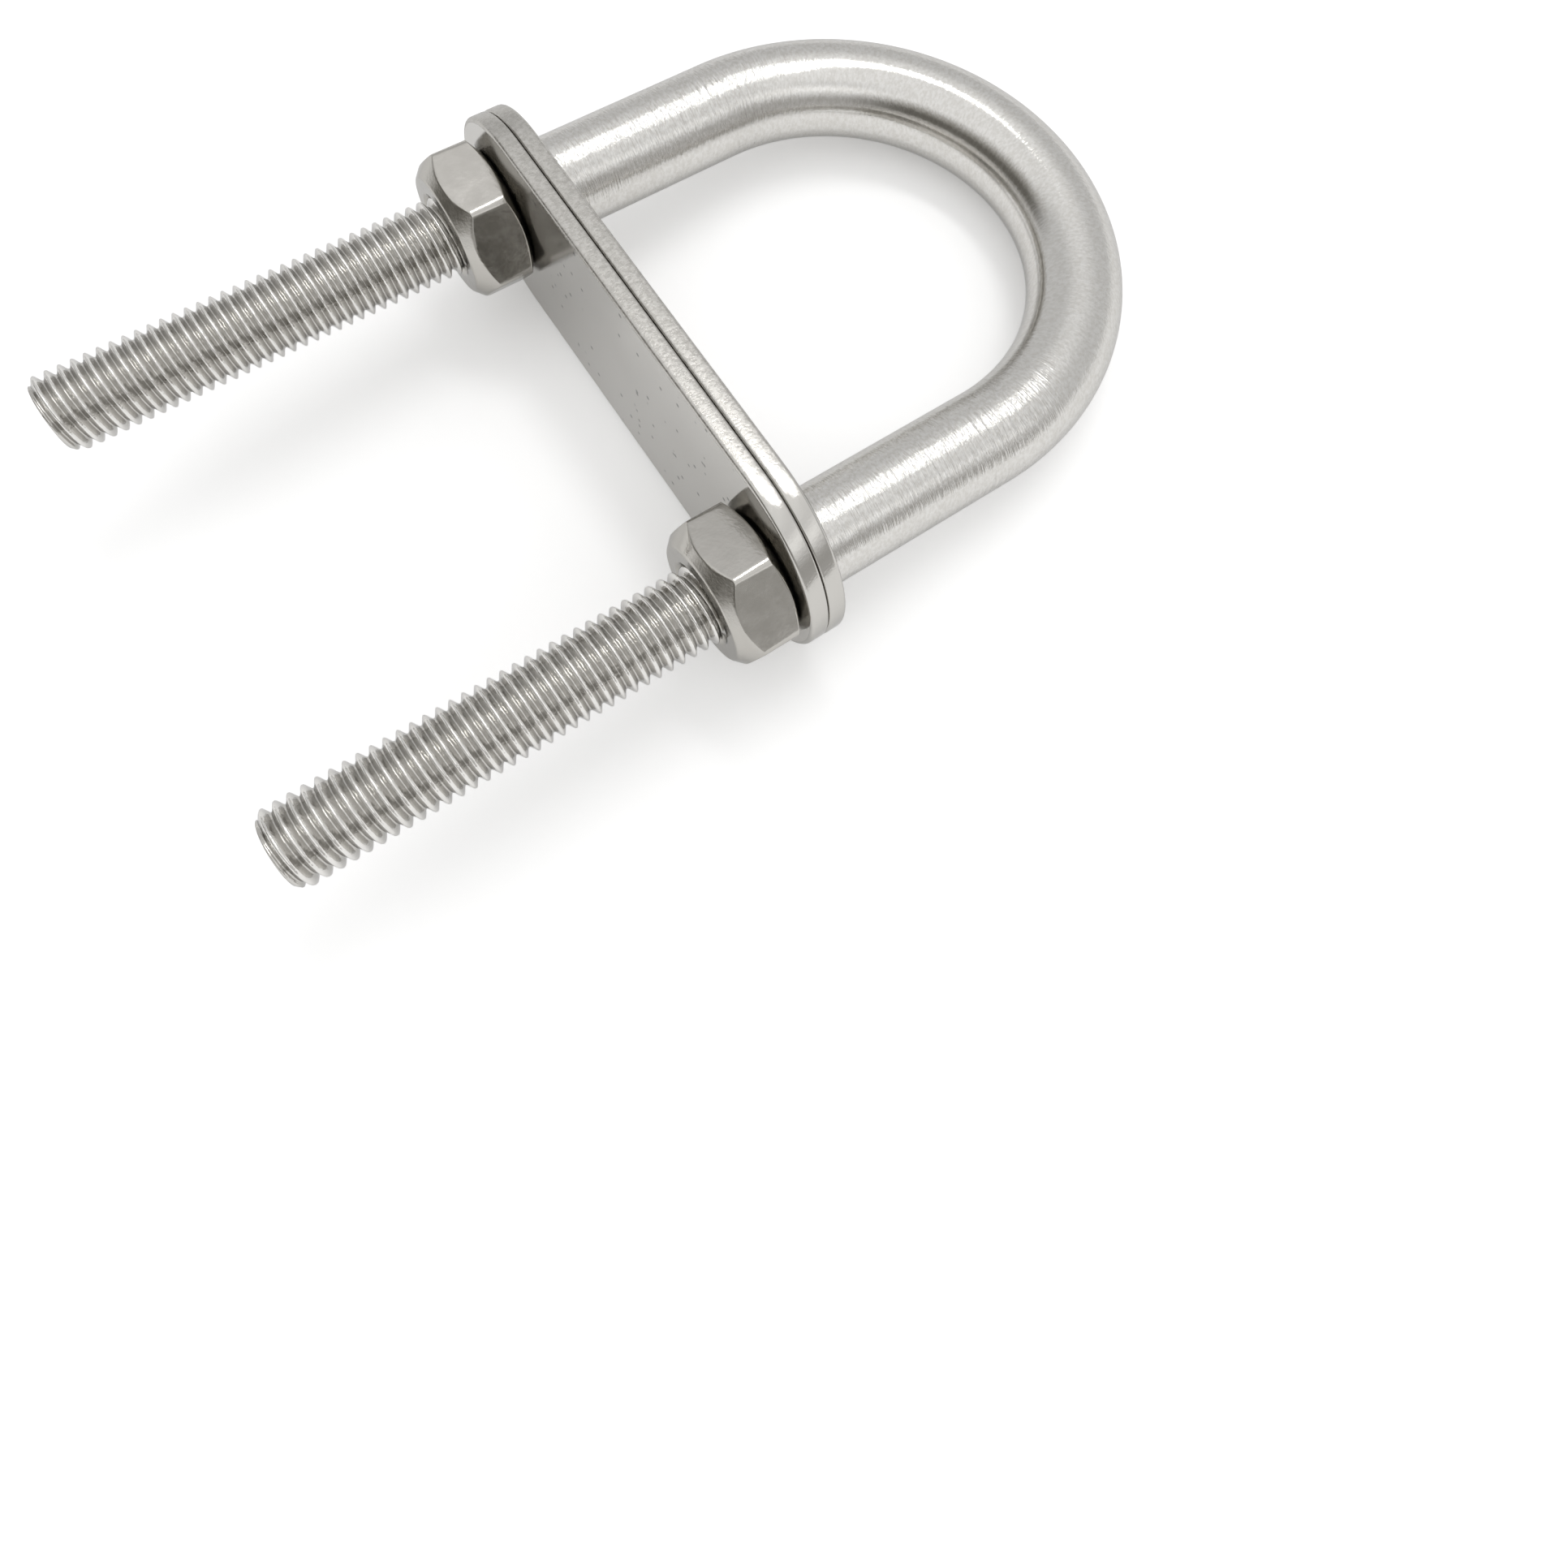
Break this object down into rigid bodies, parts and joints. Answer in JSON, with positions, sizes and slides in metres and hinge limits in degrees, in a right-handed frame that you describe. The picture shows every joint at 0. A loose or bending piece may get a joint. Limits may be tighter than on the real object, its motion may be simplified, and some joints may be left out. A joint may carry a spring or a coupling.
{
  "type": "u-bolt",
  "caption": "Shouldered U-bolt: a round bow with threaded legs, a deck plate on its shoulders, a backing plate and hexagon nuts.",
  "frame": {"origin": "centre of the deck plate's outer face, the face that the bar's two shoulders seat on and that bears on the deck or bracket when the U-bolt is fitted", "axes": "+X along the legs from the threaded tips to the bow, +Y across the legs from the right leg to the left leg, +Z square to the plane of the U"},
  "size_m": [0.105, 0.066, 0.023],
  "materials": {
    "bar_steel": "polished stainless steel with fine cross scratches, satin on the bend",
    "plate_steel": "satin stainless steel with mottled, fine-grained edges",
    "nut_steel": "smooth stainless steel with bright chamfers"
  },
  "bodies": {
    "bar": {"u_bar": "bar_steel", "deck_plate": "plate_steel"},
    "backing": {"backing_plate": "plate_steel"},
    "left_nut": {"left_nut": "nut_steel"},
    "right_nut": {"right_nut": "nut_steel"}
  },
  "joints": [
    {"name": "backing_plate_slide", "type": "slide", "parent": "bar", "child": "backing", "axis": [-1, 0, 0], "range_m": [0, 0.0401]},
    {"name": "left_nut_turn", "type": "hinge", "parent": "backing", "child": "left_nut", "pos_m": [-0.0073, 0.0248, 0], "axis": [-1, 0, 0], "range_deg": [0, 11520]},
    {"name": "right_nut_turn", "type": "hinge", "parent": "backing", "child": "right_nut", "pos_m": [-0.0073, -0.0248, 0], "axis": [-1, 0, 0], "range_deg": [0, 11520]}
  ],
  "couplings": [
    {"joint": "backing_plate_slide", "follows": "left_nut_turn", "m_per_rad": 0.00019894},
    {"joint": "right_nut_turn", "follows": "left_nut_turn", "ratio": 1}
  ]
}
